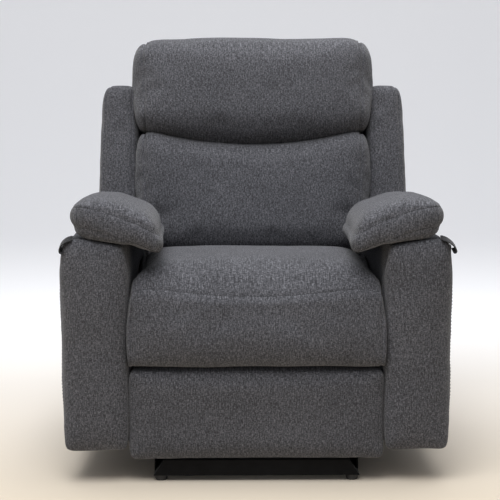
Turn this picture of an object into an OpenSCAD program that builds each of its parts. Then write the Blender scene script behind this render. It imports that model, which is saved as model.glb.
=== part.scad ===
// Push-back recliner armchair.
// +X is to the right seen from the front, the front faces -Y, the floor is z = 0.
// Every piece is drawn with y measured back from the plane of the arm fronts,
// and placed() then moves the whole chair so that its box is centred over the origin.

/* [Overall size] */
// Width over the two arms
overall_w = 846; // [740:1:1020]
// Width of the seat between the arms
between_arms = 566; // [480:1:680]
// Height of the top of the head cushion
overall_h = 1000; // [834:1:1200]
// Height of the seat's crown
seat_h = 479; // [430:1:575]
// Length of the upper part of the arms
arm_len = 530; // [450:1:640]
// Thickness of the backrest, from its cushion's face to its rear cover
back_t = 245; // [205:1:300]

/* [Arms] */
// How far the arm's top lies above the seat's crown
arm_rise = 58; // [50:1:70]
// Height of the arm's bottom above the floor
arm_clear = 74; // [60:1:90]
// Length of the low rear end of the arm, under the wing
arm_tail = 110; // [60:1:115]
// Thickness of the arm's padded cover
cover_t = 16; // [10:1:20]
// Thickness of the boards in the arm
board_t = 18; // [12:1:21]
// Thickness of the pad on the arm
pad_t = 82; // [70:1:110]
// How far the pad hangs over the arm's inner face
pad_over_in = 75; // [40:1:90]
// How far the pad stops short of the arm's outer face
pad_short_out = 11; // [0:1:30]
// Tilt of the pad towards the seat, in degrees
pad_tilt = 8; // [4:0.5:9]
// Thickness of the side pouch at its mouth
pouch_t = 14; // [12:1:20]
// Length of the side pouch
pouch_len = 340; // [250:1:400]
// Height of the side pouch
pouch_h = 220; // [150:1:260]

/* [Back] */
// Lean of the upright back, in degrees
lean = 13; // [8:0.5:16]
// Height of the head cushion, along the back
head_h = 262; // [200:1:320]
// How far the head cushion stands proud of the back cushion
head_proud = 15; // [0:1:30]
// How far the head cushion reaches out past each arm's inner face
head_over = 32; // [20:1:38]
// Thickness of the wings, front to back
wing_t = 118; // [80:1:130]
// How far the wing's top lies below the top of the back
wing_drop = 120; // [80:1:160]
// How far the wings stop short of the arms' outer faces
wing_short = 21; // [15:1:50]
// Thickness of the hollow rear cover
shell_t = 56; // [40:1:70]

/* [Mechanism] */
// Thickness of the steel links and plates
link_t = 4; // [3:0.5:5]
// Width of the links
link_w = 20; // [16:1:21]
// Radius of the link pins
pin_r = 5; // [4:0.5:6]
// Radius of the back's pivot pins
back_pin_r = 6; // [5:0.5:8]
// Forward travel of the seat
glide_travel = 80; // [50:1:96]
// Rise of the seat's glide towards the front, in degrees
glide_rise = 5; // [0:0.5:6]
// Height of the glide channel, inside
channel_h = 24; // [18:1:28]
// Wall of the glide channel
channel_wall = 3; // [2:0.5:4]

/* [Base] */
// Gap between each arm and the base's side plate
base_gap = 54; // [45:1:65]
// Height of the base's tubes
tube_h = 35; // [25:1:36]
// Width of the base's tubes
tube_w = 35; // [25:1:40]
// Wall of the base's tubes
tube_wall = 3; // [2:0.5:4]
// Height of the plastic feet
foot_h = 13; // [8:1:16]
// How far the base's front bar stands behind the arm fronts
bar_f = 20; // [15:1:70]

/* [Footrest] */
// Thickness of the footrest's pad
rest_pad_t = 44; // [35:1:50]
// Thickness of the footrest's board
rest_board_t = 15; // [12:1:18]
// Gap between the footrest and the floor
rest_clear = 57; // [50:1:70]

/* [Hidden] */
$fn = 48;
// clearances
gap = 4;          // between soft pieces that face each other
face_gap = 0.3;   // between a link and a pin's head or collar
run_fit = 0.05;   // radial, at the pins that carry the joints
open_fit = 0.5;   // radial, at the two pivots where the linkage is left open
skin = 0.4;       // between a pad and the board or frame under it

// places across the chair (right-hand side, mirrored for the left)
in_x = between_arms / 2;
out_x = overall_w / 2;
arm_w = out_x - in_x;
soft_x = in_x - gap;
mech_x = in_x - base_gap;           // outer face of the base plates
base_w = 2 * mech_x;
layer = 2 * link_t;                 // pitch of the link layers
seat_plate_x = mech_x - 20;         // inner face of the seat plates
a_x = seat_plate_x - layer;         // front and rear links, back brackets
c_x = a_x - layer;                  // cross links and lower links
o_x = c_x - layer;                  // footrest brackets

// heights
arm_top = seat_h + arm_rise;
pivot_z = seat_h - 144;
deck_z = seat_h - 115;              // underside of the seat cushion, top of the seat frame
rail_h = 24;
roll_z = seat_h - 211;              // bottom of the seat's front roll
tail_z = seat_h - 79;               // top of the arm's low rear end
rest_top = roll_z - 11;

// depths, from the plane of the arm fronts
pivot_f = arm_len + 120;
seat_rear = arm_len + 10;
front_bulge = 12;                   // how far the seat's roll stands before the arms
front_rail_f = 40;
front_rail_t = 22;
side_rail_end = pivot_f - 50;
base_rear = pivot_f + 20;           // rear face of the base's rear bar

// backrest, in its own frame: y is through the back, z is up along it, 0 is the pivot
frame_t = 22;
frame_y = -10;
shell_y = frame_y + frame_t + 2;
back_face = shell_y + shell_t - back_t;
head_face = back_face - head_proud;
cushion_rear = frame_y - 2;
back_len = (overall_h - pivot_z + (head_face + 70) * sin(lean)) / cos(lean);
back_low = 88;
head_low = back_len - head_h;
wing_low = 110;
wing_high = back_len - wing_drop;
side_inset = 12;                    // the cushions' sides lie this far inside the head's full width
wing_in = in_x + head_over - side_inset;
wing_out = out_x - wing_short;
post_x = a_x - 25;                  // inner face of the back posts
post_w = 25;

// footrest linkage: points are [y, z], seen from the side
p1 = [185, seat_h - 204];
link_dir = 70;
link_a = p1[1] - 66;
x0 = p1 + link_a * [cos(link_dir), -sin(link_dir)];
r1 = [front_rail_f + 47, rest_top - 54];
rear_off = [-60, 4];
lift = [10, 57];
p2 = p1 + rear_off;
j2 = x0 + rear_off;
j1 = x0 + lift;
r2 = r1 + lift;
tie = p1 + 60 * [cos(link_dir), -sin(link_dir)];
tie_r = 11;

// glide
rail_mid = [350, seat_h - 181];
rail_front = front_rail_f + front_rail_t + 50;
rail_len = arm_len + 15 - rail_front;
shoe_len = 60;
shoe_front = rail_front + glide_travel + shoe_len / 2 + 8;
shoe_rear = rail_front + rail_len - shoe_len / 2 - 15;

// the whole box, for the origin
back_rear = pivot_f + (shell_y + shell_t) * cos(lean) + (back_len - 25) * sin(lean);
mid_depth = (back_rear - front_bulge) / 2;

function rail_z(f) = rail_mid[1] + (rail_mid[0] - f) * tan(glide_rise);

// ---------- helpers ----------
module placed() {
    translate([0, -mid_depth, 0]) children();
}

// side 1 is the right-hand side, side -1 the left
module on_side(side) {
    if (side > 0) children();
    else mirror([1, 0, 0]) children();
}

module both_sides() {
    children();
    mirror([1, 0, 0]) children();
}

// an outline in [y, z] made into a plate from x to x + t
module side_plate(x, t) {
    translate([x, 0, 0])
        rotate([90, 0, 90])
            linear_extrude(t) children();
}

// an outline in [x, z] made into a bar from y = f to f + t
module cross_plate(f, t) {
    translate([0, f + t, 0])
        rotate([90, 0, 0])
            linear_extrude(t) children();
}

// a square with round corners, with its low corner at [a, b]
module round_square(a, b, w, h, r) {
    translate([a + r, b]) square([w - 2 * r, h]);
    translate([a, b + r]) square([w, h - 2 * r]);
    for (u = [a + r, a + w - r], v = [b + r, b + h - r])
        translate([u, v]) circle(r);
}

// a plate with round corners of width w around its [y, z] points
module link_plate(x, points, w) {
    side_plate(x, link_t) hull() for (p = points) translate(p) circle(w / 2, $fn = 32);
}

module bore(x, p, r) {
    translate([x - 1, p[0], p[1]]) rotate([0, 90, 0]) cylinder(h = link_t + 2, r = r);
}

// a riveted pin: fixed in the plate whose inner face is at x, and carrying the plate one layer inside it
module pivot_pin(x, p, r) {
    head_t = 2.5;
    carried = x - layer;
    translate([0, p[0], p[1]]) rotate([0, 90, 0]) {
        end = carried - face_gap - head_t;
        collar = carried + link_t + face_gap;
        translate([0, 0, end]) cylinder(h = x + link_t - end, r = r);
        translate([0, 0, end]) cylinder(h = head_t, r = r + 4);
        translate([0, 0, collar]) cylinder(h = x - collar, r = r + 4);
    }
}

// a sinuous spring's centre line in the x-y plane, running along y from 0 to len
function zigzag_path(len, turns, half_w) =
    let (pitch = len / (turns + 1), bend_r = pitch / 2, leg = half_w - bend_r, steps = 6)
    concat(
        [[0, 0], [0, bend_r]],
        [for (i = [0 : turns - 1], k = [0 : steps])
            let (side = i % 2 == 0 ? 1 : -1, a = -90 + 180 * k / steps)
            [side * (leg + bend_r * cos(a)), pitch * (i + 1) + bend_r * sin(a)]],
        [[0, len - bend_r], [0, len]]
    );

// the path's normal at point i
function path_normal(path, i) =
    let (from = path[max(i - 1, 0)], to = path[min(i + 1, len(path) - 1)], run = to - from)
    [-run[1], run[0]] / norm(run);

module zigzag(length, turns, half_w, wire) {
    path = zigzag_path(length, turns, half_w);
    last = len(path) - 1;
    half = wire / 2;
    translate([0, 0, -half]) linear_extrude(wire)
        polygon(concat([for (i = [0 : last]) path[i] + half * path_normal(path, i)],
                       [for (i = [last : -1 : 0]) path[i] - half * path_normal(path, i)]));
}

module back_place() {
    translate([0, pivot_f, pivot_z]) rotate([-lean, 0, 0]) children();
}

// ---------- base ----------
module base_front_bar() {
    slope = 24;
    color("#101010") placed() difference() {
        cross_plate(bar_f, tube_w)
            polygon([[-base_w / 2, foot_h], [base_w / 2, foot_h],
                     [base_w / 2 - slope, foot_h + tube_h], [-base_w / 2 + slope, foot_h + tube_h]]);
        cross_plate(bar_f + tube_wall, tube_w - 2 * tube_wall)
            square([base_w - 2 * (slope + tube_wall), tube_h * 2 + 2 * foot_h - 2 * tube_wall], center = true);
    }
}

module base_rear_bar() {
    color("#101010") placed() difference() {
        translate([-base_w / 2, base_rear - tube_w, foot_h]) cube([base_w, tube_w, tube_h]);
        translate([-base_w / 2 - 1, base_rear - tube_w + tube_wall, foot_h + tube_wall])
            cube([base_w + 2, tube_w - 2 * tube_wall, tube_h - 2 * tube_wall]);
    }
}

module base_rail(side) {
    len = base_rear - bar_f - 2 * tube_w;
    color("#101010") placed() on_side(side) difference() {
        translate([mech_x - tube_w, bar_f + tube_w, foot_h]) cube([tube_w, len, tube_h]);
        translate([mech_x - tube_w + tube_wall, bar_f + tube_w - 1, foot_h + tube_wall])
            cube([tube_w - 2 * tube_wall, len + 2, tube_h - 2 * tube_wall]);
    }
}

module floor_feet() {
    color("#0c0c0c") placed() both_sides() for (f = [bar_f + tube_w / 2, base_rear - tube_w / 2])
        translate([base_w / 2 - 16, f, 0]) {
            cylinder(h = 3, r1 = 12, r2 = 14);
            translate([0, 0, 3]) cylinder(h = foot_h - 3, r = 14);
        }
}

module base_plate(side) {
    low = foot_h + tube_h;
    holes = 4;
    color("#1b1b1c") placed() on_side(side) difference() {
        side_plate(mech_x - link_t, link_t)
            polygon([[rail_front, low], [rail_front + rail_len, low],
                     [rail_front + rail_len, rail_z(rail_front + rail_len) + channel_h / 2 + channel_wall],
                     [rail_front, rail_z(rail_front) + channel_h / 2 + channel_wall]]);
        for (i = [0 : holes - 1])
            bore(mech_x - link_t, [rail_front + rail_len * (i + 0.5) / holes, (low + rail_mid[1]) / 2 + 20], 24);
        for (f = bracket_places) bore(mech_x - link_t, [f, bracket_z], bolt_r + 0.5);
    }
}

// C channel on the base plate's inner face, open towards the seat plate
module glide_rail(side) {
    depth = mech_x - link_t - seat_plate_x - link_t - 1;
    outer_h = channel_h + 2 * channel_wall;
    color("#8d8f92") placed() on_side(side)
        translate([mech_x - link_t, rail_mid[0], rail_mid[1]]) rotate([-glide_rise, 0, 0])
            translate([0, (rail_front - rail_mid[0]) / cos(glide_rise), 0]) difference() {
                translate([-depth, 0, -outer_h / 2]) cube([depth, rail_len - 4, outer_h]);
                translate([-depth - channel_wall, -1, -channel_h / 2]) cube([depth, rail_len, channel_h]);
            }
}

bolt_r = 4;
bracket_z = arm_clear + 60;
bracket_places = [rail_front + 60, rail_front + rail_len - 60];

module arm_brackets() {
    span = in_x - mech_x;
    color("#1b1b1c") placed() both_sides() for (f = bracket_places) difference() {
        union() {
            translate([mech_x, f - 20, bracket_z - 30]) cube([link_t, 40, 60]);
            translate([in_x - link_t, f - 20, bracket_z - 30]) cube([link_t, 40, 60]);
            translate([mech_x, f - 20, bracket_z - 30]) cube([span, 40, link_t]);
        }
        translate([mech_x - 1, f, bracket_z]) rotate([0, 90, 0]) cylinder(h = span + 2, r = bolt_r + 0.5);
    }
}

module arm_bolts() {
    head = 5;
    reach = cover_t + board_t + link_t;
    color("#b9bbbe") placed() both_sides() for (f = bracket_places) translate([0, f, bracket_z]) rotate([0, 90, 0]) {
        translate([0, 0, in_x - link_t]) cylinder(h = reach, r = bolt_r);
        translate([0, 0, in_x - link_t - head]) cylinder(h = head, r = bolt_r + 3);
        translate([0, 0, mech_x - link_t - head]) cylinder(h = head, r = bolt_r + 3);
        translate([0, 0, mech_x - link_t]) cylinder(h = 2 * link_t + head, r = bolt_r);
        translate([0, 0, mech_x + link_t]) cylinder(h = head, r = bolt_r + 3);
    }
}

// ---------- arms ----------
module pad_plane() {
    translate([in_x + arm_w / 2, arm_top]) rotate(pad_tilt) children();
}

// the arm seen from the front, between x limits grown inwards by inset
module arm_profile(inset, top, r) {
    difference() {
        round_square(in_x + inset, arm_clear, arm_w - 2 * inset, top - arm_clear, r);
        pad_plane() translate([-arm_w, -inset]) square([2 * arm_w, pad_t]);
    }
}

module arm_body(inset, r, bottom_cut) {
    difference() {
        union() {
            cross_plate(inset, arm_len - 2 * inset) arm_profile(inset, arm_top + 12 - inset, r);
            cross_plate(inset, arm_len + arm_tail - 2 * inset) arm_profile(inset, tail_z - inset, r);
        }
        translate([0, -1, arm_clear - 1]) cube([overall_w, 2 * arm_len, 1 + bottom_cut]);
    }
}

module arm_hollow(inset) {
    wide = arm_w - 2 * inset;
    low_top = arm_top - (arm_w / 2) * tan(pad_tilt) - inset - 6;
    translate([in_x + inset, inset, arm_clear - 1])
        cube([wide, arm_len - 2 * inset, low_top - arm_clear + 1]);
    translate([in_x + inset, inset, arm_clear - 1])
        cube([wide, arm_len + arm_tail - 2 * inset, tail_z - inset - arm_clear + 1]);
}

module arm_cover(side) {
    color("#4a4b4f") placed() on_side(side) difference() {
        arm_body(0, 24, 0);
        arm_hollow(cover_t);
        for (f = bracket_places)
            translate([in_x - 1, f, bracket_z]) rotate([0, 90, 0]) cylinder(h = cover_t + 2, r = bolt_r + 0.5);
    }
}

module arm_frame(side) {
    color("#b08d57") placed() on_side(side) difference() {
        intersection() {
            arm_hollow(cover_t + skin);
            translate([0, 0, arm_clear + 1]) cube([overall_w, 2 * arm_len, arm_top]);
        }
        translate([0, 0, -1]) arm_hollow(cover_t + board_t);
        for (f = bracket_places)
            translate([in_x, f, bracket_z]) rotate([0, 90, 0]) cylinder(h = arm_w / 2, r = bolt_r);
    }
}

module arm_pad(side) {
    pad_w = (arm_w + pad_over_in - pad_short_out) / cos(pad_tilt);
    inner = -(arm_w / 2 + pad_over_in) / cos(pad_tilt);
    color("#5f6066") placed() on_side(side)
        cross_plate(-10, arm_len - 25)
            pad_plane() round_square(inner, skin, pad_w, pad_t, 34);
}

module side_pouch(side) {
    wall = 2;
    toe = 5;
    top = arm_top - 2;
    low = top - pouch_h;
    color("#2c2d30") placed() on_side(side) difference() {
        cross_plate(45, pouch_len)
            polygon([[out_x, low], [out_x + toe, low], [out_x + pouch_t, top], [out_x, top]]);
        cross_plate(45 + wall, pouch_len - 2 * wall)
            polygon([[out_x + wall, low + wall * 3], [out_x + toe - wall + 0.5, low + wall * 3],
                     [out_x + pouch_t - wall, top + 1], [out_x + wall, top + 1]]);
    }
}

// ---------- seat ----------
module seat_plate(side) {
    color("#8d8f92") placed() on_side(side) difference() {
        side_plate(seat_plate_x, link_t) {
            polygon([[p2[0] - 18, p2[1] - 8], [p2[0] + 4, p2[1] - 16], [p1[0], p1[1] - 17],
                     [shoe_rear + 40, rail_z(shoe_rear) - 20], [pivot_f, pivot_z - 20],
                     [pivot_f, pivot_z + 20], [pivot_f - 60, deck_z - 1], [p2[0] - 18, deck_z - 1]]);
            translate([pivot_f, pivot_z]) circle(20);
        }
        bore(seat_plate_x, p1, pin_r);
        bore(seat_plate_x, p2, pin_r);
        bore(seat_plate_x, [pivot_f, pivot_z], back_pin_r);
    }
}

module seat_pins() {
    color("#c9cbce") placed() both_sides() {
        pivot_pin(seat_plate_x, p1, pin_r);
        pivot_pin(seat_plate_x, p2, pin_r);
        pivot_pin(seat_plate_x, [pivot_f, pivot_z], back_pin_r);
    }
}

module glide_shoes() {
    wide = mech_x - link_t - channel_wall - seat_plate_x - link_t - face_gap;
    tall = channel_h - 2 * face_gap;
    color("#e8e6df") placed() both_sides() for (f = [shoe_front, shoe_rear])
        translate([seat_plate_x + link_t, f, rail_z(f)]) rotate([-glide_rise, 0, 0])
            translate([0, -shoe_len / 2, -tall / 2]) cube([wide, shoe_len, tall]);
}

module seat_front_rail() {
    color("#b08d57") placed()
        translate([-soft_x + 8, front_rail_f, roll_z + 4])
            cube([2 * soft_x - 16, front_rail_t, deck_z - roll_z - 4]);
}

module seat_rear_rail() {
    color("#b08d57") placed()
        translate([-seat_plate_x, side_rail_end - front_rail_t, deck_z - rail_h])
            cube([2 * seat_plate_x, front_rail_t, rail_h]);
}

module seat_rail(side) {
    color("#b08d57") placed() on_side(side)
        translate([seat_plate_x + link_t, front_rail_f + front_rail_t, deck_z - rail_h])
            cube([40, side_rail_end - front_rail_f - front_rail_t, rail_h]);
}

module seat_springs() {
    first = front_rail_f + front_rail_t;
    len = side_rail_end - front_rail_t - first;
    count = 4;
    color("#77797c") placed() for (i = [0 : count - 1])
        translate([(i - (count - 1) / 2) * 2 * seat_plate_x / count, first, deck_z - rail_h / 2])
            zigzag(len, 12, 38, 4);
}

module seat_cushion() {
    color("#616268") placed()
        translate([-soft_x, 0, 0]) side_plate(0, 2 * soft_x) {
            round_square(-front_bulge, deck_z + skin, 140, seat_h - deck_z - skin, 40);
            round_square(-front_bulge, roll_z, front_bulge + front_rail_f - skin, seat_h - roll_z - 60, 22);
            translate([40, deck_z + skin]) square([seat_rear - 60, seat_h - deck_z - 24]);
            round_square(seat_rear - 120, deck_z + skin, 120, seat_h - deck_z - 32, 20);
        }
}

// ---------- backrest ----------
module back_post(side) {
    color("#b08d57") placed() on_side(side) back_place()
        translate([post_x, frame_y, 22]) cube([post_w, frame_t, back_len - 70]);
}

module back_rail(low, tall, reach) {
    notch = post_w + link_t;
    color("#b08d57") placed() back_place() difference() {
        translate([-reach, frame_y, low]) cube([2 * reach, frame_t, tall]);
        for (side = [-1, 1])
            translate([side > 0 ? post_x : -post_x - notch, frame_y - 1, low - 1])
                cube([notch, frame_t + 2, tall + 2]);
    }
}

module back_bracket(side) {
    color("#8d8f92") placed() on_side(side) back_place() difference() {
        side_plate(a_x, link_t) {
            circle(20);
            translate([frame_y, 0]) square([frame_t, 210]);
        }
        bore(a_x, [0, 0], back_pin_r + run_fit);
    }
}

module back_webbing() {
    strap_w = 50;
    lower = [wing_low + 78 : strap_w + 14 : head_low - 72];
    upper = [head_low + 28 : strap_w + 18 : back_len - 150];
    color("#2c2d30") placed() back_place() for (rows = [lower, upper], low = rows)
        translate([-post_x, -1, low]) cube([2 * post_x, 2, strap_w]);
}

// the rear cover's outline, drawn in by inset: wide behind the wings, narrow above and below them
module cover_outline(inset, low_cut) {
    neck = wing_in - 14;
    tongue = soft_x - 12;
    high = back_len - 28;
    corner = 8;
    wide_h = wing_high - wing_low - 2 * inset;
    round_square(-wing_out + inset, wing_low + inset, 2 * (wing_out - inset), wide_h, corner);
    round_square(-neck + inset, wing_high - 120, 2 * (neck - inset), high - inset - wing_high + 120, corner);
    translate([-tongue + inset, 10 - low_cut]) square([2 * (tongue - inset), wing_low + 60]);
}

module rear_cover() {
    wall = 14;
    front = cushion_rear + skin;
    color("#4a4b4f") placed() back_place() difference() {
        cross_plate(front, shell_y + shell_t - front) cover_outline(0, 0);
        cross_plate(front - 1, shell_y + shell_t - front - wall + 1) cover_outline(wall, 20);
    }
}

module wing(side) {
    color("#55565b") placed() on_side(side) back_place()
        side_plate(wing_in + gap, wing_out - wing_in - gap)
            round_square(frame_y - 2 - wing_t, wing_low, wing_t, wing_high - wing_low, 24);
}

module back_cushion() {
    r = 30;
    top = head_low - gap;
    shoulder_back = 22;             // the wide part's face lies this far behind the narrow part's
    shoulder_tall = 80;             // least height of the wide part
    pad_line = arm_top + pad_t - 70 - pivot_z;
    color("#5b5c62") placed() back_place() {
        side_box(soft_x, back_face, cushion_rear, back_low, top, r);
        side_box(wing_in, back_face + shoulder_back, cushion_rear, min(pad_line, top - shoulder_tall), top, r);
    }
}

module side_box(half_w, face, rear, low, high, r) {
    side_plate(-half_w, 2 * half_w) round_square(face, low, rear - face, high - low, r);
}

module head_cushion() {
    color("#616268") placed() back_place()
        side_box(wing_in, head_face, cushion_rear, head_low, back_len, 60);
}

// ---------- footrest linkage ----------
module front_link(side) {
    color("#8d8f92") placed() on_side(side) difference() {
        link_plate(a_x, [p1, x0, j1], link_w);
        bore(a_x, p1, pin_r + run_fit);
        bore(a_x, x0, pin_r);
        bore(a_x, j1, pin_r);
    }
}

module front_link_tube() {
    color("#8d8f92") placed() translate([-a_x, tie[0], tie[1]]) rotate([0, 90, 0]) difference() {
        cylinder(h = 2 * a_x, r = tie_r);
        translate([0, 0, -1]) cylinder(h = 2 * a_x + 2, r = tie_r - 2);
    }
}

module front_link_pins() {
    color("#c9cbce") placed() both_sides() {
        pivot_pin(a_x, x0, pin_r);
        pivot_pin(a_x, j1, pin_r);
    }
}

module rear_link(side) {
    color("#8d8f92") placed() on_side(side) difference() {
        link_plate(a_x, [p2, j2], link_w);
        bore(a_x, p2, pin_r + run_fit);
        bore(a_x, j2, pin_r);
    }
}

module rear_link_pins() {
    color("#c9cbce") placed() both_sides() pivot_pin(a_x, j2, pin_r);
}

module cross_link(side) {
    color("#8d8f92") placed() on_side(side) difference() {
        link_plate(c_x, [x0, j2, r1], link_w);
        bore(c_x, x0, pin_r + run_fit);
        bore(c_x, j2, pin_r + open_fit);
        bore(c_x, r1, pin_r);
    }
}

module cross_link_pins() {
    color("#c9cbce") placed() both_sides() pivot_pin(c_x, r1, pin_r);
}

module lower_link(side) {
    color("#8d8f92") placed() on_side(side) difference() {
        link_plate(c_x, [j1, r2], link_w);
        bore(c_x, j1, pin_r + run_fit);
        bore(c_x, r2, pin_r);
    }
}

module lower_link_pins() {
    color("#c9cbce") placed() both_sides() pivot_pin(c_x, r2, pin_r);
}

// ---------- footrest ----------
board_f = rest_pad_t + 2;
board_rear = board_f + rest_board_t;

module footrest_bracket(side) {
    foot = [board_rear, r1[1] - 70];
    color("#8d8f92") placed() on_side(side) difference() {
        union() {
            link_plate(o_x, [r1, r2], link_w);
            side_plate(o_x, link_t)
                polygon([[r1[0] + 8, r1[1] - 9], [r2[0] - 4, r2[1] - 24], [board_rear, r1[1] + 14], foot]);
            translate([o_x - 26, board_rear, foot[1]]) cube([26 + link_t, link_t, 84]);
        }
        bore(o_x, r1, pin_r + run_fit);
        bore(o_x, r2, pin_r + open_fit);
    }
}

module footrest_board() {
    color("#b08d57") placed()
        translate([-soft_x + 10, board_f, rest_clear + 10])
            cube([2 * soft_x - 20, rest_board_t, rest_top - rest_clear - 20]);
}

module footrest_pad() {
    color("#4a4b4f") placed() difference() {
        cross_plate(2, rest_pad_t + rest_board_t)
            round_square(-soft_x, rest_clear, 2 * soft_x, rest_top - rest_clear, 16);
        translate([-soft_x + 10 - skin, board_f - skin, rest_clear + 10 - skin])
            cube([2 * soft_x - 20 + 2 * skin, rest_board_t + 2 * skin, rest_top - rest_clear - 20 + 2 * skin]);
    }
}

base_front_bar();
base_rear_bar();
base_rail(-1);  // base_rail_left
base_rail(1);  // base_rail_right
floor_feet();
base_plate(-1);  // base_plate_left
base_plate(1);  // base_plate_right
glide_rail(-1);  // glide_rail_left
glide_rail(1);  // glide_rail_right
arm_brackets();
arm_bolts();
arm_frame(-1);  // arm_frame_left
arm_frame(1);  // arm_frame_right
arm_cover(-1);  // arm_cover_left
arm_cover(1);  // arm_cover_right
arm_pad(-1);  // arm_pad_left
arm_pad(1);  // arm_pad_right
side_pouch(-1);  // side_pouch_left
side_pouch(1);  // side_pouch_right
seat_plate(-1);  // seat_plate_left
seat_plate(1);  // seat_plate_right
glide_shoes();
seat_front_rail();
seat_rear_rail();
seat_rail(-1);  // seat_rail_left
seat_rail(1);  // seat_rail_right
seat_springs();
seat_cushion();
seat_pins();
back_post(-1);  // back_post_left
back_post(1);  // back_post_right
back_rail(back_len - 98, 40, wing_in - 38);  // back_top_rail
back_rail(head_low - 20, 40, wing_out - 20);  // back_mid_rail
back_rail(wing_low + 30, 40, wing_out - 20);  // back_low_rail
back_bracket(-1);  // back_bracket_left
back_bracket(1);  // back_bracket_right
back_webbing();
rear_cover();
back_cushion();
head_cushion();
wing(-1);  // wing_left
wing(1);  // wing_right
front_link(-1);  // front_link_left
front_link(1);  // front_link_right
front_link_tube();
front_link_pins();
rear_link(-1);  // rear_link_left
rear_link(1);  // rear_link_right
rear_link_pins();
cross_link(-1);  // cross_link_left
cross_link(1);  // cross_link_right
cross_link_pins();
lower_link(-1);  // lower_link_left
lower_link(1);  // lower_link_right
lower_link_pins();
footrest_bracket(-1);  // footrest_bracket_left
footrest_bracket(1);  // footrest_bracket_right
footrest_board();
footrest_pad();
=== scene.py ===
"""Looks of the push-back recliner armchair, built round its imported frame. Metres, +Z up, front towards -Y."""

import math

import bpy
import numpy as np
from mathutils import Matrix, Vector, noise


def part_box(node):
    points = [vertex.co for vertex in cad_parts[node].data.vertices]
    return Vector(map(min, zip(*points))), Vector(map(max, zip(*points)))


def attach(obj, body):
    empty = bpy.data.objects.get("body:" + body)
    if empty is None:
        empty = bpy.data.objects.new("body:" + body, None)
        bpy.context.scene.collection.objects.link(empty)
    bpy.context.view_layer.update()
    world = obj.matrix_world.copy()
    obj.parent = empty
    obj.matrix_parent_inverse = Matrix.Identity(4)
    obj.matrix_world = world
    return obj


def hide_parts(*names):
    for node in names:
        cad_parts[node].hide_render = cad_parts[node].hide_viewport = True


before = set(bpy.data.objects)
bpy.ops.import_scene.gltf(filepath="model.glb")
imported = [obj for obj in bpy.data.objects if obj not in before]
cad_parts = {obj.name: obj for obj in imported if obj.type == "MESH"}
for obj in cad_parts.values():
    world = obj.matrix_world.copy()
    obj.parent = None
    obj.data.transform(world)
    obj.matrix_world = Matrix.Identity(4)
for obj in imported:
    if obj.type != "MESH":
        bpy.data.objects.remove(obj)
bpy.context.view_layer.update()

# ---------- sizes that the frame is drawn from ----------
MID_DEPTH = 0.42394  # depth of the origin behind the arm fronts
LEAN = math.radians(13)  # lean of the back
PIVOT_Y = 0.650 - MID_DEPTH
PIVOT_Z = 0.335
FRONT = -MID_DEPTH  # plane of the arm fronts
CELL = 0.0125  # size of a face before subdivision
SEAM_STEPS = (0.0025, 0.0065)  # extra grid lines beside a seam
GROOVE = 0.0032  # depth of a seam
WING_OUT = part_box("wing_right")[1].x
WING_HIGH = 0.5348
BACK_HALF = 0.303  # half width of the head and back cushions
ARM_INNER = 0.283  # inner face of an arm
ARM_SLOPE = math.tan(math.radians(8))  # slope of an arm's top towards the seat


# ---------- grids ----------
def lines(lo, hi, cell=CELL, seams=()):
    """Grid places from lo to hi, about a cell apart, with close lines on both sides of each seam."""
    steps = (0, *SEAM_STEPS, *[-d for d in SEAM_STEPS])
    marks = sorted({lo, hi} | {s + k for s in seams for k in steps if lo < s + k < hi})
    out = [marks[0]]
    for a, b in zip(marks, marks[1:]):
        n = max(1, round((b - a) / cell))
        out += [a + (b - a) * i / n for i in range(1, n + 1)]
    return out


class Grid:
    """A closed box of quads. base holds each point's place on the plain box, for finding seams later."""

    def __init__(self, xs, ys, zs):
        self.axes = (xs, ys, zs)
        self.index = {}
        points = []
        faces = []

        def at(i, j, k):
            key = (i, j, k)
            if key not in self.index:
                self.index[key] = len(points)
                points.append((xs[i], ys[j], zs[k]))
            return self.index[key]

        nx, ny, nz = len(xs) - 1, len(ys) - 1, len(zs) - 1
        for i in range(nx):
            for j in range(ny):
                faces.append((at(i, j, 0), at(i, j + 1, 0), at(i + 1, j + 1, 0), at(i + 1, j, 0)))
                faces.append((at(i, j, nz), at(i + 1, j, nz), at(i + 1, j + 1, nz), at(i, j + 1, nz)))
            for k in range(nz):
                faces.append((at(i, 0, k), at(i + 1, 0, k), at(i + 1, 0, k + 1), at(i, 0, k + 1)))
                faces.append((at(i, ny, k), at(i, ny, k + 1), at(i + 1, ny, k + 1), at(i + 1, ny, k)))
        for j in range(ny):
            for k in range(nz):
                faces.append((at(0, j, k), at(0, j, k + 1), at(0, j + 1, k + 1), at(0, j + 1, k)))
                faces.append((at(nx, j, k), at(nx, j + 1, k), at(nx, j + 1, k + 1), at(nx, j, k + 1)))
        self.base = np.array(points, float)
        self.faces = faces

    def ring(self, axis, place):
        """Point numbers round the box, in order, on the grid line nearest to a place along an axis."""
        at = int(np.argmin(np.abs(np.array(self.axes[axis]) - place)))
        a, b = [n for n in range(3) if n != axis]
        na, nb = len(self.axes[a]) - 1, len(self.axes[b]) - 1
        loop = [(i, 0) for i in range(na)] + [(na, j) for j in range(nb)]
        loop += [(i, nb) for i in range(na, 0, -1)] + [(0, j) for j in range(nb, 0, -1)]
        found = []
        for u, v in loop:
            key = [0, 0, 0]
            key[axis], key[a], key[b] = at, u, v
            found.append(self.index[tuple(key)])
        return found


def dome(distance, width):
    """0 at a border and 1 at that width from it or more, with a round shoulder between."""
    t = np.clip(distance / width, 0, 1)
    return np.sqrt(np.maximum(0, 1 - (1 - t) ** 2))


def soft_step(t):
    t = np.clip(t, 0, 1)
    return t * t * (3 - 2 * t)


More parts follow.
